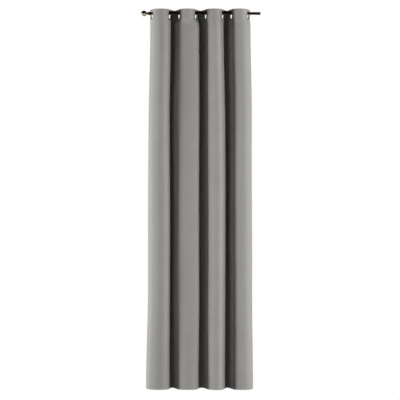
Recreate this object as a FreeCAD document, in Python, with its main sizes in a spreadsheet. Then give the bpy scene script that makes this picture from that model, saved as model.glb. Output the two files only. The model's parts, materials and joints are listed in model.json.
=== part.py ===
import FreeCAD, Part
import math
import os
import Sketcher
from FreeCAD import Placement, Rotation, Vector

# A room curtain panel with a grommet heading, gathered on a short rod with a ball finial.
# Millimetres. +X runs along the rod, +Z is up, the face side looks towards -Y.
# The origin is on the rod's axis, at the middle of the gathered heading.

SIZES = {
    # cloth
    "drop": 2134,
    "cloth": 1.0,
    "flat_pitch": 168.4,
    "edge_margin": 45.5,
    "hem_spread": 1.065,
    "squareness": 0.0519,
    "ring_land": 27.5,
    "heading_depth": 100,
    "tape": 1.2,
    "tape_inset": 3,
    "fold_gap": 0.3,
    # where the eyelets stand along the rod: across each front fold, then across each back fold
    "front_chord_one": 97.5,
    "front_chord_two": 93.5,
    "front_chord_three": 95.5,
    "front_chord_four": 93.5,
    "back_chord_one": 53.5,
    "back_chord_two": 56,
    "back_chord_three": 48.5,
    # eyelets
    "eyelet_bore": 20,
    "eyelet_wall": 1,
    "eyelet_rim": 6.5,
    "face_height": 2.4,
    "face_round": 1.1,
    "washer_height": 1.6,
    "washer_chamfer": 0.7,
    "eyelet_clearance": 0.15,
    "hang_gap": 0.3,
    "heading_rise": 14.5,
    # rod
    "rod_outer": 8,
    "rod_wall": 1,
    "rod_left": 290,
    "rod_right": 340,
    "cap_length": 22,
    "cap_spigot": 15,
    "seam_chamfer": 0.6,
    "cap_fit": 0.02,
    # finial
    "ball_radius": 16.4,
    "ball_centre": 315.4,
    "neck_radius": 4.8,
    "collar_wall": 1.5,
    "collar_lap": 14,
    "collar_end": 4,
    "collar_nose": 1.5,
    "collar_fit": 0.05,
    "plug_length": 16,
    "plug_fit": 0.03,
    "stud_radius": 3,
    "stud_in_ball": 10,
    "stud_in_plug": 12,
    # label
    "label_width": 28,
    "label_height": 45,
    "label_sheet": 0.4,
    "label_lift": 60,
}

FRONT_CHORDS = ["front_chord_one", "front_chord_two", "front_chord_three", "front_chord_four"]
BACK_CHORDS = ["back_chord_one", "back_chord_two", "back_chord_three"]
CURVE_STEPS = 20  # spans of the curved middle of a fold
FINE_STEPS = 8  # steps summed in each span
HALVINGS = 50  # steps of each search by halving
SQUAREST = 60.0  # a fold squarer than this would be a box
NARROWEST = math.radians(45)  # the cloth's least and greatest turn at an eyelet
WIDEST = math.radians(135)

doc = FreeCAD.newDocument("curtain_panel")
sheet = doc.addObject("Spreadsheet::Sheet", "Sizes")
for row, (name, value) in enumerate(SIZES.items(), start=1):
    sheet.set(f"A{row}", name)
    sheet.set(f"B{row}", str(value))
    sheet.setAlias(f"B{row}", name)
doc.recompute()

finished = []


def size(name):
    """The number in the sheet's cell of this name."""
    return float(getattr(sheet, name))


def cells(text):
    """An expression in which each word that is a cell's alias reads that cell."""
    words = text.replace("(", " ( ").replace(")", " ) ").split()
    return " ".join(f"Sizes.{word}" if word in SIZES else word for word in words)


def finish(part, label):
    """Name a finished sub-part, which also names its file."""
    part.Label = label
    finished.append(part)
    return part


# ---------------------------------------------------------------- turned pieces


def origin_plane(body, role):
    """One of a body's own origin planes or axes."""
    return next(feature for feature in body.Origin.OriginFeatures if feature.Role == role)


def turned(name, label, corners):
    """A piece turned about its own X axis, from its section's corners as (along, radius)."""
    body = doc.addObject("PartDesign::Body", name)
    sketch = body.newObject("Sketcher::SketchObject", name + "_section")
    sketch.AttachmentSupport = (origin_plane(body, "XY_Plane"), [""])
    sketch.MapMode = "FlatFace"
    count = len(corners)
    for index in range(count):
        start = Vector(index, index * index, 0)
        end = Vector(index + 1, (index + 1) ** 2, 0)
        sketch.addGeometry(Part.LineSegment(start, end), False)
    for index in range(count):
        sketch.addConstraint(Sketcher.Constraint("Coincident", index, 2, (index + 1) % count, 1))
    for index, (along, radius) in enumerate(corners):
        for kind, axis, text in (("DistanceX", -2, along), ("DistanceY", -1, radius)):
            if text == "0":
                sketch.addConstraint(Sketcher.Constraint("PointOnObject", index, 1, axis))
                continue
            number = sketch.addConstraint(Sketcher.Constraint(kind, -1, 1, index, 1, index + 1.0))
            sketch.setExpression(f"Constraints[{number}]", cells(text))
    turn = body.newObject("PartDesign::Revolution", name + "_turn")
    turn.Profile = sketch
    turn.ReferenceAxis = (sketch, ["H_Axis"])
    turn.Angle = 360
    return finish(body, label)


def along_rod(part, text):
    """Put a piece on the rod's axis at this distance from the origin."""
    part.setExpression("Placement.Base.x", cells(text))
    return part


def cylinder(name, radius, height, start):
    """A plain cylinder on the rod's axis."""
    rod = doc.addObject("Part::Cylinder", name)
    rod.Placement = Placement(Vector(), Rotation(Vector(0, 0, 1), Vector(1, 0, 0)))
    rod.setExpression("Radius", cells(radius))
    rod.setExpression("Height", cells(height))
    return along_rod(rod, start)


TUBE_LENGTH = "rod_left + rod_right - cap_length"
BORE = "rod_outer - rod_wall"


def rod():
    """The tube and the cap that plugs its open end."""
    tube = turned("Tube", "rod_tube", [
        ("0", BORE),
        (TUBE_LENGTH, BORE),
        (TUBE_LENGTH, "rod_outer - seam_chamfer"),
        (TUBE_LENGTH + " - seam_chamfer", "rod_outer"),
        ("0", "rod_outer"),
    ])
    along_rod(tube, "-1 * rod_left")
    spigot = BORE + " - cap_fit"
    end = "cap_spigot + cap_length"
    cap = turned("Cap", "rod_end_cap", [
        ("0", "0"),
        ("0", spigot + " - seam_chamfer"),
        ("seam_chamfer", spigot),
        ("cap_spigot", spigot),
        ("cap_spigot", "rod_outer - seam_chamfer"),
        ("cap_spigot + seam_chamfer", "rod_outer"),
        (end + " - seam_chamfer", "rod_outer"),
        (end, "rod_outer - seam_chamfer"),
        (end, "0"),
    ])
    along_rod(cap, "rod_right - cap_length - cap_spigot")


def finial():
    """A ball on a neck, a collar that laps the tube, a plug in the tube, and the stud through them."""
    collar_outer = "rod_outer + collar_fit + collar_wall"
    length = "collar_end + collar_lap"
    collar = turned("Collar", "finial_collar", [
        ("0", "stud_radius"),
        ("0", collar_outer + " - collar_nose"),
        ("collar_nose", collar_outer),
        (length + " - seam_chamfer", collar_outer),
        (length, collar_outer + " - seam_chamfer"),
        (length, "rod_outer + collar_fit"),
        ("collar_end", "rod_outer + collar_fit"),
        ("collar_end", "stud_radius"),
    ])
    along_rod(collar, "-1 * rod_left - collar_end")
    plug = turned("Plug", "finial_plug", [
        ("0", "stud_radius"),
        ("0", BORE + " - plug_fit"),
        ("plug_length - seam_chamfer", BORE + " - plug_fit"),
        ("plug_length", BORE + " - plug_fit - seam_chamfer"),
        ("plug_length", "stud_radius"),
    ])
    along_rod(plug, "-1 * rod_left")

    ball = doc.addObject("Part::Sphere", "Ball")
    ball.setExpression("Radius", cells("ball_radius"))
    along_rod(ball, "-1 * ball_centre")
    neck = cylinder("Neck", "neck_radius", "ball_centre - rod_left - collar_end", "-1 * ball_centre")
    knob = doc.addObject("Part::MultiFuse", "Knob")
    knob.Shapes = [ball, neck]
    stud_start = "-1 * ball_centre + ball_radius - stud_in_ball"
    stud_length = "ball_centre - rod_left + stud_in_ball + stud_in_plug - ball_radius"
    socket = cylinder("StudSocket", "stud_radius", stud_length, stud_start)
    drilled = doc.addObject("Part::Cut", "DrilledKnob")
    drilled.Base = knob
    drilled.Tool = socket
    finish(drilled, "finial_ball")
    finish(cylinder("Stud", "stud_radius", stud_length, stud_start), "finial_stud")


# ---------------------------------------------------------------- eyelets


def heading(fraction, angle, squareness):
    """The cloth's direction at a place in a fold's curved middle, from -1 to 1 across it."""
    bend = math.sin(math.pi * fraction / 2)
    return angle * math.copysign(abs(bend) ** squareness, bend)


def middle(span, angle, squareness):
    """Points and directions along the curved middle of a fold, starting at (0, 0)."""
    points = []
    place = Vector()
    steps = CURVE_STEPS * FINE_STEPS
    for step in range(steps + 1):
        fraction = 2 * step / steps - 1
        if step % FINE_STEPS == 0:
            points.append((Vector(place), heading(fraction, angle, squareness)))
        turn = heading(fraction + 1 / steps, angle, squareness)
        place += Vector(math.cos(turn), math.sin(turn), 0) * (span / steps)
    return points


def fold_width(angle, squareness):
    """How far apart a fold's eyelets stand: its curved middle and the flat land at each end."""
    land = size("ring_land")
    span = size("flat_pitch") - 2 * land
    return middle(span, angle, squareness)[-1][0].x + 2 * land * math.cos(angle)


def halved(low, high, too_low):
    """The value between low and high where too_low turns from true to false."""
    for _ in range(HALVINGS):
        value = (low + high) / 2
        if too_low(value):
            low = value
        else:
            high = value
    return value


def wave_angle():
    """The cloth's turn away from the rod at every eyelet, which the narrowest fold's width sets."""
    chord = min(size(name) for name in BACK_CHORDS)
    return halved(NARROWEST, WIDEST, lambda angle: fold_width(angle, size("squareness")) > chord)


def eyelet_places():
    """Each eyelet's place along the rod, as an expression, from left to right."""
    spans = []
    for index, chord in enumerate(FRONT_CHORDS):
        spans.append(chord)
        spans.extend(BACK_CHORDS[index:index + 1])
    half = "( " + " + ".join(spans) + " ) * -0.5"
    return [" + ".join([half] + spans[:count]) for count in range(len(spans) + 1)]


def eyelet_numbers():
    """The same places as numbers."""
    spans = []
    for index, chord in enumerate(FRONT_CHORDS):
        spans.append(size(chord))
        spans.extend(size(name) for name in BACK_CHORDS[index:index + 1])
    start = -sum(spans) / 2
    return [start + sum(spans[:count]) for count in range(len(spans) + 1)]


def face_normal(number):
    """The way the cloth's face side looks at an eyelet, counted from 0 at the left."""
    turn = ANGLE * (-1 if number % 2 == 0 else 1)
    return Vector(math.sin(turn), -math.cos(turn), 0)


def eyelets():
    """Each eyelet is a face ring with a barrel through the cloth, and a washer behind it."""
    barrel = "eyelet_bore + eyelet_wall"
    rim = "eyelet_bore + eyelet_rim"
    behind = "washer_height + tape + cloth"
    for number, place in enumerate(eyelet_places()):
        ring = turned(f"Ring{number + 1}", f"eyelet_{number + 1}_face_ring", [
            ("0", "eyelet_bore"),
            (behind + " + face_height - face_round", "eyelet_bore"),
            (behind + " + face_height", "eyelet_bore + face_round"),
            (behind + " + face_height", rim + " - face_round"),
            (behind + " + face_height - face_round", rim),
            (behind, rim),
            (behind, barrel),
            ("0", barrel),
        ])
        washer = turned(f"Washer{number + 1}", f"eyelet_{number + 1}_back_washer", [
            ("0", barrel),
            ("0", rim + " - washer_chamfer"),
            ("washer_chamfer", rim),
            ("washer_height", rim),
            ("washer_height", barrel),
        ])
        normal = face_normal(number)
        turn = Rotation(Vector(1, 0, 0), normal)
        reach = "( washer_height + tape + cloth * 0.5 )"
        for part in (ring, washer):
            part.Placement = Placement(Vector(), turn)
            along_rod(part, f"{place} - {reach} * {normal.x:.9f}")
            part.setExpression("Placement.Base.y", cells(f"{reach} * {-normal.y:.9f}"))
            part.setExpression("Placement.Base.z", cells("rod_outer - eyelet_bore + hang_gap"))


# ---------------------------------------------------------------- cloth


def fold_line(chord, angle):
    """The curved middle of a fold whose eyelets stand a chord apart, at the cloth's true length."""
    squareness = halved(0.0, SQUAREST, lambda value: fold_width(angle, value) < chord)
    return middle(size("flat_pitch") - 2 * size("ring_land"), angle, squareness)


def section(left, chord, angle, level, near, far, before, after):
    """A fold's closed section at one level, between two offsets from the cloth's middle surface.

    The fold swells forwards where angle is positive. Its first eyelet is at left, and before and
    after are the lengths of cloth beyond its two eyelets.
    """
    land = size("ring_land")
    start = Vector(math.cos(angle), -math.sin(angle), 0)
    end = Vector(math.cos(angle), math.sin(angle), 0)
    corner = Vector(left, 0, level) + start * land
    curve = [(corner + place, turn) for place, turn in fold_line(chord, angle)]
    first = (curve[0][0] - start * (land + before), curve[0][1])
    last = (curve[-1][0] + end * (land + after), curve[-1][1])
    edges = []
    ends = []
    for amount in (near, far):
        points = [
            place + Vector(-math.sin(turn), math.cos(turn), 0) * amount
            for place, turn in [first] + curve + [last]
        ]
        bend = Part.BSplineCurve()
        bend.interpolate(points[1:-1])
        edges.append(Part.makeLine(points[0], points[1]))
        edges.append(bend.toShape())
        edges.append(Part.makeLine(points[-2], points[-1]))
        ends.append((points[0], points[-1]))
    edges.append(Part.makeLine(ends[0][0], ends[1][0]))
    edges.append(Part.makeLine(ends[0][1], ends[1][1]))
    return Part.Wire(Part.sortEdges(edges)[0])


def pierced(shape, numbers):
    """The shape with a round hole for the barrel of each of these eyelets."""
    places = eyelet_numbers()
    radius = size("eyelet_bore") + size("eyelet_wall") + size("eyelet_clearance")
    reach = size("ring_land") / 2
    height = size("rod_outer") - size("eyelet_bore") + size("hang_gap")
    for number in numbers:
        normal = face_normal(number)
        centre = Vector(places[number], 0, height)
        shape = shape.cut(Part.makeCylinder(radius, 2 * reach, centre - normal * reach, normal))
    return shape.Solids[0]


def place_shape(label, shape):
    """A sub-part whose free-form shape comes from the sheet's sizes."""
    part = doc.addObject("Part::Feature", label)
    part.Shape = shape
    return finish(part, label)


def heading_top():
    """How high the cloth reaches above the rod's axis."""
    return size("rod_outer") + size("hang_gap") + size("heading_rise")


def folds():
    """The cloth and the heading tape, as four folds that swell forwards and three that swell back."""
    top = heading_top()
    straight_to = top - size("heading_depth")
    hem = top - size("drop")
    spread = size("hem_spread")
    half = size("cloth") / 2
    places = eyelet_numbers()
    for number, left in enumerate(places[:-1]):
        front = number % 2 == 0
        angle = ANGLE if front else -ANGLE
        chord = places[number + 1] - left
        before = size("edge_margin") if number == 0 else 0
        after = 0 if front else -size("fold_gap")
        if number == len(places) - 2:
            after = size("edge_margin")
        name = f"{'front' if front else 'back'}_fold_{number // 2 + 1}"
        levels = ((top, 1), (straight_to, 1), (hem, spread))
        sections = [
            section(left * scale, chord * scale, angle, level, -half, half, before, after)
            for level, scale in levels
        ]
        cloth = Part.makeLoft(sections, True, True)
        place_shape(name, pierced(cloth, (number, number + 1)))
        inset = size("tape_inset")
        band = [
            section(left, chord, angle, level, half, half + size("tape"), before, after)
            for level in (top - inset, straight_to + inset)
        ]
        tape = Part.makeLoft(band, True, True)
        place_shape(name.replace("fold", "heading_tape"), pierced(tape, (number, number + 1)))


def label():
    """The blank care label, sewn behind the left edge just above the hem."""
    turn = math.degrees(ANGLE) - 90
    behind = Vector(math.sin(ANGLE), math.cos(ANGLE), 0)
    upper = size("label_lift") + size("label_height")
    share = upper / (size("drop") - size("heading_depth"))
    scale = size("hem_spread") + (1 - size("hem_spread")) * share
    level = heading_top() - size("drop") + size("label_lift")
    corner = Vector(eyelet_numbers()[0] * scale, 0, level)
    patch = doc.addObject("Part::Box", "Label")
    patch.setExpression("Length", cells("label_sheet"))
    patch.setExpression("Width", cells("label_width"))
    patch.setExpression("Height", cells("label_height"))
    clear = size("cloth") / 2 + size("fold_gap")
    patch.Placement = Placement(corner + behind * clear, Rotation(Vector(0, 0, 1), -turn))
    finish(patch, "care_label")


# ---------------------------------------------------------------- build and write

ANGLE = wave_angle()

rod()
finial()
eyelets()
folds()
label()
doc.recompute()

for part in doc.Objects:
    if "Invalid" in part.State or "Error" in part.State:
        raise RuntimeError(f"{part.Name} failed: {part.State}")
for part in finished:
    if part.Shape.isNull() or not part.Shape.isValid() or part.Shape.Volume <= 0:
        raise RuntimeError(f"{part.Label} has no good shape")

os.makedirs("parts", exist_ok=True)
for part in finished:
    part.Shape.exportStep(f"parts/{part.Label}.step")
print(f"{len(finished)} sub-parts written")
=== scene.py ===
"""Looks of a gathered curtain panel with an eyelet heading, on a slim rod with a ball finial.

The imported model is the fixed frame: metres, +X along the rod, +Z up, the face side towards -Y.
"""

import json
import logging
import math
from collections.abc import Callable
from dataclasses import dataclass, field
from enum import Enum

import bmesh
import bpy
import numpy as np
from mathutils import Matrix, Vector

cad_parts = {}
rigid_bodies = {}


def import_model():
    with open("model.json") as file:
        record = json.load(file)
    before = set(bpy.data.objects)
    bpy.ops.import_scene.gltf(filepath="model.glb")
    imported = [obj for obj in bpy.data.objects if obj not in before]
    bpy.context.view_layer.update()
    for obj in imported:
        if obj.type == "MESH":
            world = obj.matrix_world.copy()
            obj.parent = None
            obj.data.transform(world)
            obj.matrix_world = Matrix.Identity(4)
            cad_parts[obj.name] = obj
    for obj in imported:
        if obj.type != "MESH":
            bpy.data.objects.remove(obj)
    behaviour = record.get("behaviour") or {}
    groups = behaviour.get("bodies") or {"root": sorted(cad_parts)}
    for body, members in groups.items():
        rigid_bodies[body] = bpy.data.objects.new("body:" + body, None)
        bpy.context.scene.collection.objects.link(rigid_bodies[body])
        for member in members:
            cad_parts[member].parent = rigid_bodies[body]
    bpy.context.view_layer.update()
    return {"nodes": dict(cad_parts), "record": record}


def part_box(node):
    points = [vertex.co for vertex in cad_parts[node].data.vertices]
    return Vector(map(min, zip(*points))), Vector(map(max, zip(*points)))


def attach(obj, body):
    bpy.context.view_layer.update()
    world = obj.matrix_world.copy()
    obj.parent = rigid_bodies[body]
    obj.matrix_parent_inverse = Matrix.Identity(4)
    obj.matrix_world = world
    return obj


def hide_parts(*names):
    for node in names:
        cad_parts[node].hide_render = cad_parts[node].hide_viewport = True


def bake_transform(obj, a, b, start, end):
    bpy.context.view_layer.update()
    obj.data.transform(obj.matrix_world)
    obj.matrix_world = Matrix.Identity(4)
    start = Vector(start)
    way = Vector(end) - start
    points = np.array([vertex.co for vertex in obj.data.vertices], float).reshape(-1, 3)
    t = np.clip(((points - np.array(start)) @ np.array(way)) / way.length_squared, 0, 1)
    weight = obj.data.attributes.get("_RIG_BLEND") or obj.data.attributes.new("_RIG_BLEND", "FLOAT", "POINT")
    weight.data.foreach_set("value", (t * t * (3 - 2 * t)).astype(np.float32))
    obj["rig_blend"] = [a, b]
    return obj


Colour = tuple[float, float, float]
Material = bpy.types.Material
Shape = bmesh.types.BMesh
Socket = bpy.types.NodeSocket

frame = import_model()

LOG = logging.getLogger("curtain")
MM = 0.001
CUT_MAP = "cut"  # the UV map that holds a point's place on the flat cloth, in metres
EYELETS = 8
AXIS_X = Vector((1, 0, 0))
SAME_PLACE = 1e-6  # points closer than this, in metres, are one
SHARP = math.radians(38)  # metal edges stay sharp from this angle
CLOTH_SHARP = math.radians(50)  # the cut edges of cloth stay sharp from this angle


# -------------------- small tools


def ease(share: float) -> float:
    """A smooth step from 0 to 1."""
    inside = min(1.0, max(0.0, share))
    return inside * inside * (3 - 2 * inside)


def mix(first: float, second: float, share: float) -> float:
    """The value a share of the way from the first to the second."""
    return first + (second - first) * share


def ride_of(node: str) -> str:
    """The body that a CAD node rides on."""
    return next(name for name, members in frame["record"]["behaviour"]["bodies"].items() if node in members)


def keep_sharp(shape: Shape, angle: float) -> None:
    """Mark the edges that stay sharp, from an angle between their two faces."""
    for edge in shape.edges:
        edge.smooth = not (edge.is_manifold and edge.calc_face_angle(0.0) > angle)


def finished(name: str, shape: Shape, material: Material) -> bpy.types.Object:
    """Turn a bmesh into a piece, smooth but for its sharp edges.

    Args:
        name: the piece's name.
        shape: the bmesh, which is freed.
        material: what the piece is dressed in.

    Returns:
        The new object, at the origin.
    """
    for face in shape.faces:
        face.smooth = True
    keep_sharp(shape, SHARP)
    mesh = bpy.data.meshes.new(name)
    shape.to_mesh(mesh)
    shape.free()
    piece = bpy.data.objects.new(name, mesh)
    bpy.context.scene.collection.objects.link(piece)
    mesh.materials.append(material)
    return piece


def stand_for(piece: bpy.types.Object, *nodes: str) -> None:
    """Let a piece ride with the CAD nodes that it stands for, and report it.

    Args:
        piece: the piece.
        nodes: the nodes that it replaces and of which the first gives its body.
    """
    if piece.parent is None and "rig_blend" not in piece:
        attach(piece, ride_of(nodes[0]))
    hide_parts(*nodes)
    LOG.info("%s stands for %s, %d faces", piece.name, ", ".join(nodes), len(piece.data.polygons))


@dataclass(frozen=True)
class Corner:
    """A corner of a turned section: its place along the axis, its radius and its rounding."""

    along: float
    radius: float
    rounding: float = 0.0


def arc(centre: float, radius: float, first: float, last: float, steps: int) -> list[Corner]:
    """Corners on a round stretch of a turned section.

    Args:
        centre: the arc's centre, on the axis.
        radius: the arc's radius.
        first: the angle from +X where it starts, in degrees.
        last: the angle where it ends.
        steps: how many spans it has.

    Returns:
        The corners in order.
    """
    angles = [math.radians(mix(first, last, step / steps)) for step in range(steps + 1)]
    return [Corner(centre + radius * math.cos(a), abs(radius * math.sin(a))) for a in angles]


def turned(corners: list[Corner], closed: bool, sides: int = 64, segments: int = 4) -> Shape:
    """Spin a section about the X axis and round its corners.

    Args:
        corners: the section's corners in order.
        closed: true for a ring, whose last corner joins the first.
        sides: faces round the axis.
        segments: faces across a rounding.

    Returns:
        The turned shape.
    """
    shape = bmesh.new()
    points = [shape.verts.new((corner.along, 0, corner.radius)) for corner in corners]
    pairs = list(zip(points, points[1:]))
    if closed:
        pairs.append((points[-1], points[0]))
    lines = [shape.edges.new(pair) for pair in pairs]
    bmesh.ops.spin(shape, geom=points + lines, cent=(0, 0, 0), axis=AXIS_X, angle=2 * math.pi,
                   steps=sides, use_merge=True, use_duplicate=False)
    bmesh.ops.remove_doubles(shape, verts=shape.verts, dist=SAME_PLACE)
    bmesh.ops.recalc_face_normals(shape, faces=shape.faces)
    for corner in corners:
        if corner.rounding <= 0:
            continue
        edges = [edge for edge in shape.edges if all(on_corner(v.co, corner) for v in edge.verts)]
        bmesh.ops.bevel(shape, geom=edges, offset=corner.rounding, segments=segments, profile=0.5,
                        affect="EDGES", clamp_overlap=True, material=-1)
    return shape


def on_corner(place: Vector, corner: Corner) -> bool:
    """True if a point lies on the circle that a corner has been spun to."""
    away = math.hypot(place.y, place.z) - corner.radius
    return abs(place.x - corner.along) < SAME_PLACE and abs(away) < SAME_PLACE


# -------------------- finishes


class Graph:
    """A material's node tree, built one node at a time."""

    def __init__(self, name: str) -> None:
        """Start a material with a surface shader and nothing else."""
        self.material = bpy.data.materials.new(name)
        self.material.use_nodes = True
        self.tree = self.material.node_tree
        self.tree.nodes.clear()
        self.surface = self.node("BsdfPrincipled")
        self.node("OutputMaterial", Surface=self.surface.outputs["BSDF"])

    def put(self, socket: Socket, value: object) -> None:
        """Link a socket to another, or set its value."""
        if isinstance(value, Socket):
            self.tree.links.new(value, socket)
        else:
            socket.default_value = value

    def set(self, **values: object) -> None:
        """Set or link the surface shader's sockets, named with _ for a space."""
        for name, value in values.items():
            self.put(self.surface.inputs[name.replace("_", " ")], value)

    def node(self, kind: str, **values: object) -> bpy.types.Node:
        """Add a node and set or link its inputs, named with _ for a space.

        Args:
            kind: its type, without the ShaderNode in front.
            values: its inputs.

        Returns:
            The node.
        """
        node = self.tree.nodes.new("ShaderNode" + kind)
        for name, value in values.items():
            self.put(node.inputs[name.replace("_", " ")], value)
        return node

    def object_place(self) -> Socket:
        """A point's place in the object's own frame, in metres."""
        return self.node("TexCoord").outputs["Object"]

    def cut_place(self) -> Socket:
        """A point's place on the flat cloth, in metres."""
        node = self.node("UVMap")
        node.uv_map = CUT_MAP
        return node.outputs["UV"]

    def split(self, vector: Socket) -> list[Socket]:
        """The three parts of a vector."""
        return list(self.node("SeparateXYZ", Vector=vector).outputs)

    def scaled(self, vector: Socket, scale: tuple[float, float, float]) -> Socket:
        """A vector stretched along its own axes."""
        return self.node("Mapping", Vector=vector, Scale=scale).outputs[0]

    def math(self, operation: str, first: object, second: object = 0.0, third: object = 0.0) -> Socket:
        """Work out one sum of numbers or sockets.

        Args:
            operation: the sum's name, as the Math node has it.
            first: its first term.
            second: its second term.
            third: its third term, for a sum that has one.

        Returns:
            The result.
        """
        node = self.node("Math")
        node.operation = operation
        for socket, value in zip(node.inputs, (first, second, third)):
            self.put(socket, value)
        return node.outputs[0]

    def noise(self, vector: Socket, scale: float, detail: float = 2.0, rough: float = 0.5) -> Socket:
        """Smooth noise from 0 to 1, with a scale in waves to the metre."""
        node = self.node("TexNoise", Vector=vector, Scale=scale, Detail=detail, Roughness=rough)
        return node.outputs["Fac"]

    def span(self, value: object, low: float, high: float, first: float = 0, last: float = 1) -> Socket:
        """Carry a value from one span to another, eased at both ends.

        Args:
            value: the value.
            low: where its span begins.
            high: where its span ends.
            first: the result at low.
            last: the result at high.

        Returns:
            The result.
        """
        node = self.node("MapRange", Value=value, From_Min=low, From_Max=high, To_Min=first, To_Max=last)
        node.interpolation_type = "SMOOTHSTEP"
        return node.outputs[0]

    def blend(self, share: object, first: object, second: object) -> Socket:
        """Mix two colours.

        Args:
            share: how far to go from the first to the second.
            first: the colour at 0.
            second: the colour at 1.

        Returns:
            The mixed colour.
        """
        node = self.node("Mix")
        node.data_type = "RGBA"
        colours = [socket for socket in node.inputs if socket.type == "RGBA"]
        self.put(node.inputs[0], share)
        for socket, colour in zip(colours, (first, second)):
            self.put(socket, colour if isinstance(colour, Socket) else (*colour, 1.0))
        return next(socket for socket in node.outputs if socket.type == "RGBA")

    def bump(self, height: Socket, distance: float, strength: float) -> None:
        """Raise the surface by a share of a relief, whose height of 1 is given in metres."""
        node = self.node("Bump", Height=height, Distance=distance, Strength=strength)
        self.set(Normal=node.outputs[0])


@dataclass(frozen=True)
class ClothFinish:
    """A plain tight weave, with sewn hems where the cut is turned up.

    A seam is given as the cut's axis that it crosses, 0 across and 1 up, and its place on it.
    """

    name: str
    light: Colour
    dark: Colour
    thread: float
    sheen: float
    roughness: float
    seams: tuple[tuple[int, float], ...] = ()
    stitch: float = 3.2 * MM
    stitch_width: float = 0.5 * MM
    stitch_ends: tuple[float, float] = (0.36, 0.42)  # where a stitch fades, from its middle, in stitches
    stitch_sink: float = 1.5  # how deep a stitch sinks, in heights of the weave
    stitch_shade: float = 0.55
    relief: float = 0.12 * MM
    slub_scale: float = 60
    slub_stretch: float = 12
    warp_stretch: float = 14
    slub_share: float = 0.35
    cloud_scale: float = 9
    cloud_share: float = 0.3
    weave_share: float = 0.15

    def threads(self, graph: Graph, place: list[Socket]) -> Socket:
        """Make the weave, from warp and weft that pass over and under each other.

        Args:
            graph: the material's node tree.
            place: the two parts of the place on the flat cloth.

        Returns:
            The weave's height, from 0 to 1.
        """
        across, up = (graph.math("MULTIPLY", part, math.pi / self.thread) for part in place[:2])
        half_up = graph.math("MULTIPLY", graph.math("SINE", up), 0.5)
        return graph.math("MULTIPLY_ADD", graph.math("SINE", across), half_up, 0.5)

    def stitches(self, graph: Graph, place: list[Socket]) -> Socket:
        """Make the stitches of the hems' seams.

        Args:
            graph: the material's node tree.
            place: the two parts of the place on the flat cloth.

        Returns:
            A share of 1 on each stitch, and 0 elsewhere.
        """
        found = None
        for axis, where in self.seams:
            off = graph.math("ABSOLUTE", graph.math("SUBTRACT", place[axis], where))
            line = graph.span(off, self.stitch_width / 2, self.stitch_width, 1, 0)
            run = graph.math("FRACT", graph.math("DIVIDE", place[1 - axis], self.stitch))
            from_middle = graph.math("ABSOLUTE", graph.math("SUBTRACT", run, 0.5))
            dash = graph.span(from_middle, *self.stitch_ends, 1, 0)
            mark = graph.math("MULTIPLY", line, dash)
            found = mark if found is None else graph.math("MAXIMUM", found, mark)
        return found

    def tone(self, graph: Graph, place: Socket, weave: Socket) -> Socket:
        """Make the cloth's uneven tone, from thick threads both ways, faint clouds and the weave.

        Args:
            graph: the material's node tree.
            place: the place on the flat cloth.
            weave: the weave's height.

        Returns:
            The tone, about 0.5 on average.
        """
        slubs = graph.noise(graph.scaled(place, (1, self.slub_stretch, 1)), self.slub_scale, 3)
        warps = graph.noise(graph.scaled(place, (self.warp_stretch, 1, 1)), self.slub_scale, 3)
        cloud = graph.noise(place, self.cloud_scale, 3)
        tone = graph.math("MULTIPLY_ADD", slubs, self.slub_share,
                          graph.math("MULTIPLY", warps, self.slub_share))
        tone = graph.math("MULTIPLY_ADD", cloud, self.cloud_share, tone)
        return graph.math("MULTIPLY_ADD", graph.math("SUBTRACT", weave, 0.5), self.weave_share, tone)

    def material(self) -> Material:
        """Build the material.

        Returns:
            The cloth, which reads the piece's place on the flat cloth.
        """
        graph = Graph(self.name)
        place = graph.cut_place()
        parts = graph.split(place)
        height = self.threads(graph, parts)
        colour = graph.blend(graph.span(self.tone(graph, place, height), 0.3, 0.7), self.dark, self.light)
        if self.seams:
            stitches = self.stitches(graph, parts)
            shade = tuple(self.stitch_shade * part for part in self.dark)
            colour = graph.blend(graph.math("MULTIPLY", stitches, 0.5), colour, shade)
            height = graph.math("MULTIPLY_ADD", stitches, -self.stitch_sink, height)
        graph.bump(height, self.relief, 0.6)
        graph.set(Base_Color=colour, Roughness=self.roughness, Sheen_Weight=self.sheen,
                  Sheen_Roughness=0.5, Specular_IOR_Level=0.2)
        return graph.material


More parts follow.
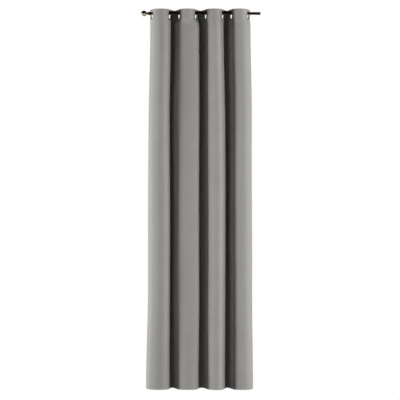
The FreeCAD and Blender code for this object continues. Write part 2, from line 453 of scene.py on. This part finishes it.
@dataclass(frozen=True)
class MetalFinish:
    """Aged plating: a clean colour that shows through a dark patina.

    Where a height is given, the patina is thin below that height and full a little above it. This is a
    painted reflection: the underside shows the bright clean colour as if it mirrored the pale floor, and the
    top stays dark.
    """

    name: str
    # the plating's own colour, which the painted reflection also shows on the underside
    clean: Colour
    patina: Colour
    cover: float
    roughness: float
    # painted reflection: the height below which the underside is painted as bright clean metal, and the span
    # over which it fades into the dark patina
    painted_reflection_below: float | None = None
    painted_reflection_fade: float = 3 * MM
    grain: float = 700
    relief: float = 0.05 * MM

    def spread_patina_and_painted_reflection(self, graph: Graph, place: Socket, speck: Socket) -> Socket:
        """Spread the patina, and thin it on the underside as a painted reflection.

        Args:
            graph: the material's node tree.
            place: the place in the object's own frame.
            speck: the metal's fine grain.

        Returns:
            The share of patina, from 0 to 1, kept low on the underside to paint a reflection there.
        """
        blotch = graph.noise(place, self.grain / 4, 4, 0.6)
        middle = 1.0 - 0.5 * self.cover
        painted_reflection_and_patina = graph.span(graph.math("MULTIPLY_ADD", speck, 0.35, blotch), middle - 0.15, middle + 0.15)
        if self.painted_reflection_below is None:
            return painted_reflection_and_patina
        # painted reflection: below the height the patina thins, so the underside shows bright clean metal as
        # a mirror of the pale floor would, and the top stays dark
        shade = graph.span(graph.split(place)[2], self.painted_reflection_below, self.painted_reflection_below + self.painted_reflection_fade)
        painted_reflection_and_patina = graph.math("MULTIPLY_ADD", painted_reflection_and_patina, 0.3, graph.math("MULTIPLY", shade, 0.85))
        return graph.math("MINIMUM", painted_reflection_and_patina, 1.0)

    def material(self) -> Material:
        """Build the material.

        Returns:
            The metal, which reads the place in the object's own frame.
        """
        graph = Graph(self.name)
        place = graph.object_place()
        speck = graph.noise(place, self.grain, 3, 0.6)
        painted_reflection_and_patina = self.spread_patina_and_painted_reflection(graph, place, speck)
        graph.bump(speck, self.relief, 0.5)
        graph.set(Base_Color=graph.blend(painted_reflection_and_patina, self.clean, self.patina), Metallic=1.0,
                  Roughness=graph.span(speck, 0.2, 0.8, self.roughness - 0.06, self.roughness + 0.1))
        return graph.material


@dataclass(frozen=True)
class PlasticFinish:
    """Plain moulded plastic with a fine grain."""

    name: str
    colour: Colour
    roughness: float = 0.5
    grain: float = 2500

    def material(self) -> Material:
        """Build the material.

        Returns:
            The plastic, which reads the place in the object's own frame.
        """
        graph = Graph(self.name)
        grain = graph.noise(graph.object_place(), self.grain, 2)
        dark = tuple(0.8 * part for part in self.colour)
        graph.bump(grain, 0.03 * MM, 0.5)
        graph.set(Base_Color=graph.blend(grain, dark, self.colour), Roughness=self.roughness)
        return graph.material


# -------------------- the hanging cloth


class Side(Enum):
    """Which way a fold swells."""

    FRONT = 1
    BACK = -1


@dataclass(frozen=True)
class Station:
    """The folds' shape at one depth below the rod's axis.

    The fold lines are where the cloth crosses the rod's plane. Depth, lines and land are in millimetres,
    and the angle, which is the cloth's turn away from the rod at its lines, is in degrees. The land is
    the flat cloth on either side of a line, and the lean is how far the folds slope sideways.
    """

    depth: float
    lines: tuple[float, ...]
    angle: float
    land: float
    lean: float


@dataclass
class Drape:
    """The shape that the one flat cloth takes when it hangs in folds from its eyelets."""

    pitch: float = 168.4 * MM  # from eyelet to eyelet on the flat cloth
    margin: float = 45.5 * MM
    ring_offset: float = 0.2 * MM  # from the middle of a face ring's height to the cloth's middle
    columns: int = 60
    halvings: int = 34
    sharpest: float = 16.0  # how tight the corners of the squarest and narrowest folds are
    crown: float = 0.42  # the share of a natural wave's turn that a square fold keeps on its front
    sway: float = 1.2  # how far the fold lines wander, in millimetres
    sway_waves: float = 5.1  # radians in a metre
    sway_step: float = 1.9  # radians from line to line
    sway_from: float = 0.1  # the sway grows from this depth
    sway_over: float = 0.5
    stations: list[Station] = field(default_factory=list)
    solved: dict[tuple[int, float], np.ndarray] = field(default_factory=dict)

    def __post_init__(self) -> None:
        """Read the eyelets' places and the cloth's height from the frame."""
        low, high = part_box("front_fold_2")
        self.top = high.z
        self.hem = low.z
        boxes = [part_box(f"eyelet_{number + 1}_face_ring") for number in range(EYELETS)]
        centres = [(first + last) / 2 for first, last in boxes]
        self.eyelet_height = centres[0].z
        self.angle = self.ring_angle()
        sideways = self.ring_offset * math.sin(self.angle)
        self.eyelets = [centre.x + sideways * (-1 if number % 2 == 0 else 1)
                        for number, centre in enumerate(centres)]
        hung = tuple(place / MM for place in self.eyelets)
        self.stations = [
            Station(30, hung, math.degrees(self.angle), 16, 0.0),
            Station(62, (-268, -170, -129, -10, 38, 127, 174, 276), 77, 12, 0.04),
            Station(620, (-278, -175, -136, -9, 40, 137, 181, 286), 78, 8, 0.06),
            Station(1500, (-282, -174, -135, -10, 40, 139, 182, 286), 78, 8, 0.06),
            Station(2111, (-291, -176, -130, -13, 40, 134, 182, 293), 78, 8, 0.06),
        ]

    @staticmethod
    def ring_angle() -> float:
        """The turn of the cloth at an eyelet, from the direction in which a face ring is thinnest."""
        points = np.array([vert.co for vert in frame["nodes"]["eyelet_2_face_ring"].data.vertices])
        axis = np.linalg.svd(points - points.mean(0), full_matrices=False)[2][2]
        return math.atan2(abs(axis[0]), abs(axis[1]))

    def halved(self, low: float, high: float, too_low: Callable[[float], bool]) -> float:
        """Search a span by halving it.

        Args:
            low: where the span begins.
            high: where it ends.
            too_low: true for the values below the one that is looked for.

        Returns:
            The value where too_low turns from true to false.
        """
        for _ in range(self.halvings):
            value = (low + high) / 2
            low, high = (value, high) if too_low(value) else (low, value)
        return (low + high) / 2

    def headings(self, angle: float, square: float) -> np.ndarray:
        """The cloth's direction at the middle of each span across a fold's curved part.

        Args:
            angle: its turn at either end, in radians.
            square: 0 for a natural wave, up to 1 for a box, and down to -1 for a narrow tip.

        Returns:
            The directions, in radians from the rod.
        """
        share = (np.arange(self.columns) + 0.5) / self.columns * 2 - 1
        bend = np.sin(share * math.pi / 2)
        if square >= 0:
            corner = np.abs(bend) ** (square * self.sharpest)
            return angle * bend * (self.crown + (1 - self.crown) * corner)
        tight = -square * self.sharpest
        return angle * np.tanh(tight * bend) / math.tanh(tight)

    def width(self, angle: float, square: float, land: float) -> float:
        """How far apart a fold's two lines stand."""
        curved = np.cos(self.headings(angle, square)).mean() * (self.pitch - 2 * land)
        return curved + 2 * land * math.cos(angle)

    def between(self, depth: float) -> tuple[Station, Station, float]:
        """Find the stations on either side of a depth.

        Args:
            depth: the depth below the rod's axis, in millimetres.

        Returns:
            The station above, the station below, and the eased share of the way between them.
        """
        for above, below in zip(self.stations, self.stations[1:]):
            if depth < below.depth:
                return above, below, ease((depth - above.depth) / (below.depth - above.depth))
        return self.stations[-1], self.stations[-1], 0.0

    def line(self, number: int, height: float) -> float:
        """Find where a fold line stands along the rod.

        Args:
            number: the line's number from the left.
            height: the height above the rod's axis.

        Returns:
            Its place along the rod, in metres.
        """
        above, below, share = self.between(-height / MM)
        grown = ease((-height - self.sway_from) / self.sway_over)
        sway = self.sway * math.sin(-height * self.sway_waves + self.sway_step * number) * grown
        return (mix(above.lines[number], below.lines[number], share) + sway) * MM

    def section(self, fold: int, height: float) -> np.ndarray:
        """Points across a fold at a height, from line to line, on the cloth's middle surface.

        Args:
            fold: the fold's number from the left, where even folds swell forwards.
            height: the height above the rod's axis.

        Returns:
            An array of (flat distance, x, y, heading), one row for each place.
        """
        key = (fold, round(height, 6))
        if key in self.solved:
            return self.solved[key]
        above, below, share = self.between(-height / MM)
        angle = math.radians(mix(above.angle, below.angle, share))
        land = mix(above.land, below.land, share) * MM
        lean = mix(above.lean, below.lean, share)
        left, right = self.line(fold, height), self.line(fold + 1, height)
        square = self.halved(-1, 1, lambda value: self.width(angle, value, land) < right - left)
        side = Side.FRONT if fold % 2 == 0 else Side.BACK
        inner = self.headings(angle, square) * side.value
        span = (self.pitch - 2 * land) / self.columns
        steps = np.concatenate(([land], np.full(self.columns, span), [land]))
        turns = np.concatenate(([-angle * side.value], inner, [angle * side.value]))
        x = left + np.concatenate(([0.0], np.cumsum(np.cos(turns) * steps)))
        y = np.concatenate(([0.0], np.cumsum(np.sin(turns) * steps)))
        flat = np.concatenate(([0.0], np.cumsum(steps)))
        heading = np.concatenate(([turns[0]], (turns[1:] + turns[:-1]) / 2, [turns[-1]]))
        leaned = np.arctan2(np.sin(heading), np.cos(heading) - lean * np.sin(heading))
        self.solved[key] = np.stack((flat, x - lean * y, y, leaned), 1)
        return self.solved[key]

    def point(self, fold: int, across: float, height: float, behind: float = 0.0) -> Vector:
        """A place on the hanging cloth.

        Args:
            fold: the fold's number from the left.
            across: the flat distance from the fold's left line, beyond the fold in a side margin.
            height: the height above the rod's axis.
            behind: how far behind the cloth's middle surface it lies.

        Returns:
            The point, in the frame's metres.
        """
        rows = self.section(fold, height)
        inside = min(self.pitch, max(0.0, across))
        x, y, heading = (float(np.interp(inside, rows[:, 0], rows[:, column])) for column in (1, 2, 3))
        beyond = across - inside
        x += math.cos(heading) * beyond - math.sin(heading) * behind
        y += math.sin(heading) * beyond + math.cos(heading) * behind
        return Vector((x, y, height))


@dataclass
class Panel:
    """The curtain cloth, its hems and the heading tape behind it."""

    drape: Drape
    cloth: Material
    tape: Material
    thickness: float = 1.0 * MM
    tape_thickness: float = 1.0 * MM
    tape_inset: float = 3 * MM
    tape_depth: float = 97 * MM
    tape_clearance: float = 1.05  # the gap behind the cloth, in shares of a layer
    hem_height: float = 80 * MM
    hem_clearance: float = 1.1
    side_hem: float = 25 * MM
    tuck: float = 0.3 * MM  # how far a side hem stays behind the cloth's edge
    hem_tuck: float = 0.5 * MM
    apart: float = 1.0 * MM  # from the hem to a side hem
    hole: float = 21.3 * MM
    fine_row: float = 2.6 * MM
    coarse_rows: int = 110
    look_every: float = 50 * MM  # how often the fold lines are looked at

    def heights(self, low: float, high: float) -> list[float]:
        """Work out a layer's rows, close together where the eyelets are.

        Args:
            low: the layer's lowest height.
            high: its highest height.

        Returns:
            The rows' heights, from the top.
        """
        zone_end = self.drape.eyelet_height - 2 * self.hole
        fine_end = max(low, zone_end)
        count = max(1, round((high - fine_end) / self.fine_row)) if high > fine_end else 0
        rows = [mix(high, fine_end, step / count) for step in range(count + 1)] if count else [high]
        rest = rows[-1] - low
        if rest > SAME_PLACE:
            steps = max(2, math.ceil(self.coarse_rows * rest / (self.drape.top - self.drape.hem)))
            rows += [mix(rows[-1], low, step / steps) for step in range(1, steps + 1)]
        return rows

    def layer(self, shape: Shape, fold: int, start: float, end: float, low: float, high: float,
              behind: float) -> None:
        """Add one layer of cloth that follows a fold.

        Args:
            shape: what the layer is added to.
            fold: the fold's number from the left.
            start: the flat distance from the fold's left line where the layer starts.
            end: where it ends.
            low: the layer's lowest height.
            high: its highest height.
            behind: how far behind the cloth's middle surface it lies.
        """
        rows = self.heights(low, high)
        columns = max(4, round((end - start) / self.fine_row))
        cut = shape.loops.layers.uv.get(CUT_MAP) or shape.loops.layers.uv.new(CUT_MAP)
        made = bmesh.ops.create_grid(shape, x_segments=columns, y_segments=len(rows) - 1, size=0.5)
        flat: dict[bmesh.types.BMVert, tuple[float, float]] = {}
        for vert in made["verts"]:
            across = mix(start, end, vert.co.x + 0.5)
            height = rows[len(rows) - 1 - round((vert.co.y + 0.5) * (len(rows) - 1))]
            flat[vert] = (across, height)
        faces = {face for vert in made["verts"] for face in vert.link_faces}
        for face in faces:
            for loop in face.loops:
                across, height = flat[loop.vert]
                loop[cut].uv = (fold * self.drape.pitch + across, height - self.drape.hem)
        for along in (0.0, self.drape.pitch):
            self.pierce(shape, faces, flat, (along, self.drape.eyelet_height))
        for vert, (across, height) in flat.items():
            if vert.is_valid:
                vert.co = self.drape.point(fold, across, height, behind)

    def pierce(self, shape: Shape, faces: set[bmesh.types.BMFace],
               flat: dict[bmesh.types.BMVert, tuple[float, float]], centre: tuple[float, float]) -> None:
        """Cut an eyelet's hole out of a flat layer and round its edge.

        Args:
            shape: what the layer is in.
            faces: the layer's faces.
            flat: each point's place on the flat cloth, which is moved on the hole's edge.
            centre: the hole's centre on the flat cloth.
        """
        away = {vert: math.dist(place, centre) for vert, place in flat.items() if vert.is_valid}
        inside = [face for face in faces if face.is_valid
                  and sum(away[vert] for vert in face.verts) / len(face.verts) < self.hole]
        rim = {vert for face in inside for vert in face.verts}
        bmesh.ops.delete(shape, geom=inside, context="FACES")
        for vert in rim:
            if vert.is_valid and away[vert] > SAME_PLACE:
                reach = self.hole / away[vert]
                across, height = flat[vert]
                flat[vert] = (centre[0] + (across - centre[0]) * reach,
                              centre[1] + (height - centre[1]) * reach)

    def solid(self, name: str, shape: Shape, material: Material, thickness: float) -> bpy.types.Object:
        """Give layers their thickness and turn them into a piece.

        Args:
            name: the piece's name.
            shape: the layers, which are freed.
            material: what the piece is dressed in.
            thickness: each layer's thickness.

        Returns:
            The new object.
        """
        piece = finished(name, shape, material)
        modifier = piece.modifiers.new("thickness", "SOLIDIFY")
        modifier.thickness = thickness
        modifier.offset = 0.0
        graph = bpy.context.evaluated_depsgraph_get()
        thick = bpy.data.meshes.new_from_object(piece.evaluated_get(graph))
        piece.modifiers.clear()
        shape = bmesh.new()
        shape.from_mesh(thick)
        keep_sharp(shape, CLOTH_SHARP)
        shape.to_mesh(piece.data)
        shape.free()
        piece.data.update()
        return piece

    def build(self) -> None:
        """Make the seven folds of the cloth and of the heading tape."""
        for fold in range(EYELETS - 1):
            side = Side.FRONT if fold % 2 == 0 else Side.BACK
            label = f"{side.name.lower()}_{fold // 2 + 1}"
            self.fold_piece(fold, label)
            self.tape_piece(fold, label)

    def hold(self, piece: bpy.types.Object, fold: int, node: str) -> None:
        """Let a front fold ride on its body, and a back fold bend between the two beside it.

        Args:
            piece: the fold's piece.
            fold: the fold's number from the left.
            node: the CAD node that the piece stands for.
        """
        if fold % 2:
            count = math.ceil(-self.drape.hem / self.look_every)
            heights = [-step * self.look_every for step in range(count)]
            start = max(self.drape.line(fold, height) for height in heights)
            end = min(self.drape.line(fold + 1, height) for height in heights)
            body = fold // 2 + 1
            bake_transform(piece, f"fold_{body}", f"fold_{body + 1}", start=(start, 0, 0), end=(end, 0, 0))
        stand_for(piece, node)

    def fold_piece(self, fold: int, label: str) -> None:
        """Make one fold of the cloth, with its share of the hems.

        Args:
            fold: the fold's number from the left.
            label: its side and its number on that side.
        """
        drape = self.drape
        leftmost, rightmost = fold == 0, fold == EYELETS - 2
        start = -drape.margin if leftmost else 0.0
        end = drape.pitch + (drape.margin if rightmost else 0.0)
        behind = self.thickness * self.hem_clearance
        hem_top = drape.hem + self.hem_height
        shape = bmesh.new()
        self.layer(shape, fold, start, end, drape.hem, drape.top, 0.0)
        self.layer(shape, fold, start, end, drape.hem + self.hem_tuck, hem_top, behind)
        side_low = hem_top + self.apart
        side_high = drape.top - self.tape_depth - 2 * self.apart
        if leftmost:
            self.layer(shape, fold, start + self.tuck, start + self.side_hem, side_low, side_high, behind)
        if rightmost:
            self.layer(shape, fold, end - self.side_hem, end - self.tuck, side_low, side_high, behind)
        piece = self.solid("cloth_" + label, shape, self.cloth, self.thickness)
        self.hold(piece, fold, label.replace("_", "_fold_"))

    def tape_piece(self, fold: int, label: str) -> None:
        """Make one fold's stretch of the stiff heading tape, on the cloth's wrong side.

        Args:
            fold: the fold's number from the left.
            label: its side and its number on that side.
        """
        drape = self.drape
        start = self.apart - drape.margin if fold == 0 else 0.0
        end = drape.pitch + (drape.margin - self.apart if fold == EYELETS - 2 else 0.0)
        high = drape.top - self.tape_inset
        low = drape.top - self.tape_depth
        behind = (self.thickness + self.tape_thickness) / 2 * self.tape_clearance
        shape = bmesh.new()
        self.layer(shape, fold, start, end, low, high, behind)
        piece = self.solid("heading_tape_" + label, shape, self.tape, self.tape_thickness)
        self.hold(piece, fold, label.replace("_", "_heading_tape_"))


# -------------------- metal pieces


@dataclass
class Eyelets:
    """Eight two-part metal eyelets: a rounded face ring with a barrel, and a washer behind."""

    drape: Drape
    material: Material
    bore: float = 20 * MM
    wall: float = 1.0 * MM
    rim: float = 26.5 * MM
    face: tuple[float, float] = (0.5 * MM, 2.2 * MM)  # from the cloth's middle, towards the front
    washer: tuple[float, float] = (-2.7 * MM, -1.6 * MM)
    fit: float = 0.02 * MM

    def ring(self) -> Shape:
        """The face ring: a domed flange, rolled into a barrel that goes through the cloth."""
        low, high = self.face
        crown = (self.bore + self.rim) / 2
        return turned([
            Corner(self.washer[0], self.bore, 0.3 * MM),
            Corner(low, self.bore, 0.4 * MM),
            Corner(high - 0.5 * MM, self.bore + 1.2 * MM, 0.6 * MM),
            Corner(high, crown, 0.8 * MM),
            Corner(high - 0.4 * MM, self.rim - 1.4 * MM, 0.8 * MM),
            Corner(low + 0.5 * MM, self.rim, 0.3 * MM),
            Corner(low, self.rim - 0.2 * MM),
            Corner(low, self.bore + self.wall),
            Corner(self.washer[0], self.bore + self.wall, 0.3 * MM),
        ], closed=True)

    def back(self) -> Shape:
        """The washer, with teeth hidden and its outer edge rounded."""
        low, high = self.washer
        inner = self.bore + self.wall + self.fit
        return turned([
            Corner(low + 0.3 * MM, inner, 0.2 * MM),
            Corner(low, inner + 1.2 * MM, 0.5 * MM),
            Corner(low, self.rim - 1.6 * MM, 0.8 * MM),
            Corner(high - 0.5 * MM, self.rim, 0.3 * MM),
            Corner(high, self.rim - 0.2 * MM),
            Corner(high, inner),
        ], closed=True)

    def build(self) -> None:
        """Put a ring and a washer at each eyelet."""
        for number, along in enumerate(self.drape.eyelets):
            turn = self.drape.angle * (-1 if number % 2 == 0 else 1)
            normal = Vector((math.sin(turn), -math.cos(turn), 0))
            place = Matrix.Translation((along, 0, self.drape.eyelet_height))
            place @= normal.to_track_quat("X", "Z").to_matrix().to_4x4()
            for shape, part in ((self.ring(), "face_ring"), (self.back(), "back_washer")):
                bmesh.ops.transform(shape, matrix=place, verts=shape.verts)
                name = f"eyelet_{number + 1}_{part}"
                stand_for(finished(name.replace("eyelet", "grommet"), shape, self.material), name)


@dataclass
class Rod:
    """The rod's tube and its end cap."""

    tube_metal: Material
    cap_metal: Material
    wall: float = 1.0 * MM
    cap_length: float = 22 * MM
    cap_bevel: tuple[float, float] = (1.2 * MM, 1.6 * MM)  # along the rod and inwards
    fit: float = 0.02 * MM

    def tube(self) -> Shape:
        """The tube, open at both ends."""
        low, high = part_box("rod_tube")
        outer = high.z
        bore = outer - self.wall
        return turned([
            Corner(low.x, bore, 0.2 * MM),
            Corner(high.x, bore, 0.2 * MM),
            Corner(high.x, outer, 0.4 * MM),
            Corner(low.x, outer, 0.2 * MM),
        ], closed=True)

    def cap(self) -> Shape:
        """The end cap, with the spigot that fills the tube's bore."""
        low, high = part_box("rod_end_cap")
        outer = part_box("rod_tube")[1].z
        spigot = outer - self.wall - self.fit
        seam = high.x - self.cap_length
        along, inwards = self.cap_bevel
        return turned([
            Corner(low.x, 0),
            Corner(low.x, spigot, 0.6 * MM),
            Corner(seam, spigot),
            Corner(seam, outer, 0.4 * MM),
            Corner(high.x - along, outer, 0.8 * MM),
            Corner(high.x, outer - inwards, 0.6 * MM),
            Corner(high.x, 0),
        ], closed=False)

    def build(self) -> None:
        """Make both pieces."""
        stand_for(finished("rod_body", self.tube(), self.tube_metal), "rod_tube")
        stand_for(finished("rod_stopper", self.cap(), self.cap_metal), "rod_end_cap")


@dataclass
class Finial:
    """The ball on its neck, and the collar that laps the rod."""

    ball_metal: Material
    collar_metal: Material
    stud_metal: Material
    plug_plastic: Material
    ball_steps: int = 30
    neck: float = 4.8 * MM
    shoulder: float = 6.0 * MM  # the radius at which the ball runs into its neck
    foot: float = 6.2 * MM  # the bead where the neck meets the collar
    foot_length: float = 2.2 * MM
    collar_end: float = 4 * MM
    collar_bevel: float = 2.2 * MM
    groove_from_end: float = 3.0 * MM
    groove_half: float = 0.4 * MM
    groove_depth: float = 0.5 * MM
    fit: float = 0.05 * MM
    stud_radius: float = 3 * MM

    def ball(self) -> Shape:
        """The ball with its neck and its foot, and the stud's hole in them."""
        low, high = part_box("finial_ball")
        radius = high.z
        centre = low.x + radius
        hole_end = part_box("finial_stud")[0].x
        shoulder_angle = math.degrees(math.asin(self.shoulder / radius))
        shape = turned([
            Corner(hole_end, 0),
            Corner(hole_end, self.stud_radius),
            Corner(high.x, self.stud_radius),
            Corner(high.x, self.foot, 0.5 * MM),
            Corner(high.x - self.foot_length, self.foot, 0.6 * MM),
            Corner(high.x - self.foot_length - 0.6 * MM, self.neck, 0.4 * MM),
            Corner(mix(centre + radius, high.x, 0.25), self.neck, 0.8 * MM),
            *arc(centre, radius, shoulder_angle, 180, self.ball_steps),
        ], closed=False)
        bmesh.ops.recalc_face_normals(shape, faces=shape.faces)
        return shape

    def collar(self) -> Shape:
        """The collar, closed towards the ball, with a groove near its open end."""
        low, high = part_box("finial_collar")
        outer = high.z
        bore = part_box("rod_tube")[1].z + self.fit
        groove = high.x - self.groove_from_end
        return turned([
            Corner(low.x, self.stud_radius),
            Corner(low.x, outer - self.collar_bevel, 0.6 * MM),
            Corner(low.x + self.collar_bevel, outer, 1.0 * MM),
            Corner(groove - self.groove_half, outer, 0.3 * MM),
            Corner(groove, outer - self.groove_depth, 0.2 * MM),
            Corner(groove + self.groove_half, outer, 0.3 * MM),
            Corner(high.x, outer, 0.5 * MM),
            Corner(high.x, bore, 0.2 * MM),
            Corner(low.x + self.collar_end, bore),
            Corner(low.x + self.collar_end, self.stud_radius),
        ], closed=True)

    def build(self) -> None:
        """Make the two pieces that show and dress the two that are hidden."""
        stand_for(finished("finial_knob", self.ball(), self.ball_metal), "finial_ball")
        stand_for(finished("finial_sleeve", self.collar(), self.collar_metal), "finial_collar")
        for node, material in (("finial_stud", self.stud_metal), ("finial_plug", self.plug_plastic)):
            dressed = frame["nodes"][node].data.materials
            dressed.clear()
            dressed.append(material)


@dataclass
class CareLabel:
    """The blank care label behind the left edge, sewn along its upper end."""

    drape: Drape
    material: Material
    across: float = 28 * MM
    sheet: float = 0.4 * MM
    clear: float = 2.2 * MM  # from the cloth's middle to the label's sewn end
    curl: float = 0.5 * MM  # how far the loose end stands off at the cloth's fold line
    more_curl: float = 2.5 * MM  # and how much further at its other edge
    cells: tuple[int, int] = (14, 20)

    def build(self) -> None:
        """Make the label as a slightly curled sheet."""
        low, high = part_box("care_label")
        shape = bmesh.new()
        cut = shape.loops.layers.uv.new(CUT_MAP)
        bmesh.ops.create_grid(shape, x_segments=self.cells[0], y_segments=self.cells[1], size=0.5)
        for vert in shape.verts:
            share, rise = vert.co.x + 0.5, vert.co.y + 0.5
            for loop in vert.link_loops:
                loop[cut].uv = (share * self.across, rise * (high.z - low.z))
            curl = (1 - rise) ** 2 * (self.curl + self.more_curl * share)
            height = mix(low.z, high.z, rise)
            vert.co = self.drape.point(0, -share * self.across, height, self.clear + curl)
        piece = finished("care_label_sheet", shape, self.material)
        modifier = piece.modifiers.new("thickness", "SOLIDIFY")
        modifier.thickness = self.sheet
        modifier.offset = 0.0
        stand_for(piece, "care_label")


# -------------------- studio


@dataclass(frozen=True)
class Lamp:
    """A soft upright light at the eye's height: its place, its width in metres and its power in watts."""

    name: str
    x: float
    y: float
    width: float
    power: float


LAMPS = (
    Lamp("key", 3.05, -3.3, 1.2, 168),
    Lamp("left_strip", -4.2, -0.45, 1.2, 215),
    Lamp("right_strip", 4.2, -0.3, 1.0, 74),
    Lamp("front_fill", -1.2, -5.0, 3.0, 22),
    Lamp("back_softbox", -1.8, 4.6, 2.0, 110),
    Lamp("back_fill", 2.6, 4.0, 1.6, 50),
)


@dataclass
class Studio:
    """A white floor, a white surround, soft lights and the camera, in metres."""

    distance: float = 11.2
    view_height: float = 2.2486
    eye: float = -1.0483
    floor: float = -2.165
    floor_radius: float = 30
    dome_radius: float = 40
    lamp_height: float = 3.2
    white: float = 1.0
    room: float = 0.02

    def glow(self, name: str) -> Material:
        """A white surface that gives off light and takes none."""
        graph = Graph(name)
        graph.set(Base_Color=(0, 0, 0, 1), Emission_Color=(1, 1, 1, 1), Emission_Strength=self.white,
                  Roughness=1.0, Specular_IOR_Level=0.0)
        return graph.material

    def surroundings(self) -> None:
        """Make the floor and a wide white dome, which the lights shine through."""
        shape = bmesh.new()
        bmesh.ops.create_icosphere(shape, subdivisions=4, radius=self.dome_radius)
        bmesh.ops.reverse_faces(shape, faces=shape.faces)
        dome = finished("surround", shape, self.glow("surround_white"))
        shape = bmesh.new()
        bmesh.ops.create_circle(shape, cap_ends=True, segments=96, radius=self.floor_radius)
        bmesh.ops.translate(shape, vec=(0, 0, self.floor), verts=shape.verts)
        ground = finished("floor", shape, self.glow("floor_white"))
        for piece in (dome, ground):
            piece.visible_shadow = False
            piece.visible_diffuse = False
        dome.visible_glossy = False

    def light(self, lamp: Lamp) -> None:
        """Stand a lamp in its place, with its face towards the panel."""
        data = bpy.data.lights.new(lamp.name, "AREA")
        data.shape = "RECTANGLE"
        data.size, data.size_y = lamp.width, self.lamp_height
        data.energy = lamp.power
        piece = bpy.data.objects.new(lamp.name, data)
        piece.location = (lamp.x, lamp.y, self.eye)
        piece.rotation_mode = "QUATERNION"
        piece.rotation_quaternion = Vector((-lamp.x, -lamp.y, 0)).to_track_quat("-Z", "Y")
        bpy.context.scene.collection.objects.link(piece)

    def view(self) -> None:
        """Set the camera straight in front of the panel."""
        camera = bpy.data.cameras.new("view")
        camera.sensor_width = 36
        camera.lens = camera.sensor_width * self.distance / self.view_height
        camera.clip_end = 100
        stand = bpy.data.objects.new("view", camera)
        stand.location = (0, -self.distance, self.eye)
        stand.rotation_euler = (math.radians(90), 0, 0)
        bpy.context.scene.collection.objects.link(stand)
        bpy.context.scene.camera = stand

    def build(self) -> None:
        """Light the panel and set the view."""
        scene = bpy.context.scene
        scene.view_settings.view_transform = "Standard"
        scene.world = bpy.data.worlds.new("room")
        scene.world.use_nodes = True
        background = scene.world.node_tree.nodes["Background"].inputs
        background["Color"].default_value = (1, 1, 1, 1)
        background["Strength"].default_value = self.room
        for lamp in LAMPS:
            self.light(lamp)
        self.view()
        self.surroundings()


# -------------------- the panel


def seams(drape: Drape) -> tuple[tuple[int, float], ...]:
    """Find the cloth's seams: the hem's, the heading tape's and the two side hems'.

    Args:
        drape: the hanging cloth.

    Returns:
        For each seam, 1 if it runs across or 0 if it runs down, and its place on the flat cloth.
    """
    inset = drape.margin - 23 * MM
    return (
        (1, 78 * MM),
        (1, drape.top - drape.hem - 98 * MM),
        (0, -inset),
        (0, (EYELETS - 1) * drape.pitch + inset),
    )


def main() -> None:
    """Build the panel piece by piece."""
    logging.basicConfig(level=logging.INFO, format="%(name)s: %(message)s")
    Studio().build()
    drape = Drape()
    cloth = ClothFinish("grey_weave", (0.375, 0.365, 0.350), (0.330, 0.320, 0.306), 0.55 * MM, 0.12, 0.85,
                        seams(drape))
    tape = ClothFinish("heading_tape", (0.66, 0.65, 0.62), (0.56, 0.55, 0.52), 1.4 * MM, 0.0, 0.8)
    label = ClothFinish("label_weave", (0.9, 0.9, 0.88), (0.82, 0.82, 0.8), 0.3 * MM, 0.1, 0.6,
                        ((1, 42 * MM),))
    bronze = MetalFinish("eyelet_bronze", (0.16, 0.14, 0.11), (0.035, 0.032, 0.028), 0.6, 0.3)
    # The three brass finishes carry a painted reflection: their undersides are painted bright clean brass
    # and their tops stay dark.
    brass = MetalFinish("finial_brass", (0.37, 0.33, 0.235), (0.03, 0.022, 0.014), 0.5, 0.34,
                        painted_reflection_below=-9 * MM, painted_reflection_fade=12 * MM)
    rod = MetalFinish("rod_brass", (0.38, 0.31, 0.20), (0.012, 0.009, 0.006), 0.9, 0.34,
                      painted_reflection_below=-7.0 * MM, painted_reflection_fade=2.4 * MM)
    cap = MetalFinish("cap_black", (0.05, 0.04, 0.03), (0.012, 0.010, 0.008), 0.7, 0.36)
    sleeve = MetalFinish("sleeve_brass", (0.36, 0.30, 0.20), (0.02, 0.015, 0.010), 0.8, 0.36,
                         painted_reflection_below=-9.4 * MM, painted_reflection_fade=4 * MM)
    steel = MetalFinish("zinc_steel", (0.6, 0.6, 0.62), (0.42, 0.42, 0.43), 0.4, 0.35)
    plug = PlasticFinish("black_plastic", (0.03, 0.03, 0.03))
    Panel(drape, cloth.material(), tape.material()).build()
    Eyelets(drape, bronze.material()).build()
    Rod(rod.material(), cap.material()).build()
    Finial(brass.material(), sleeve.material(), steel.material(), plug.material()).build()
    CareLabel(drape, label.material()).build()


if __name__ == "__main__":
    main()
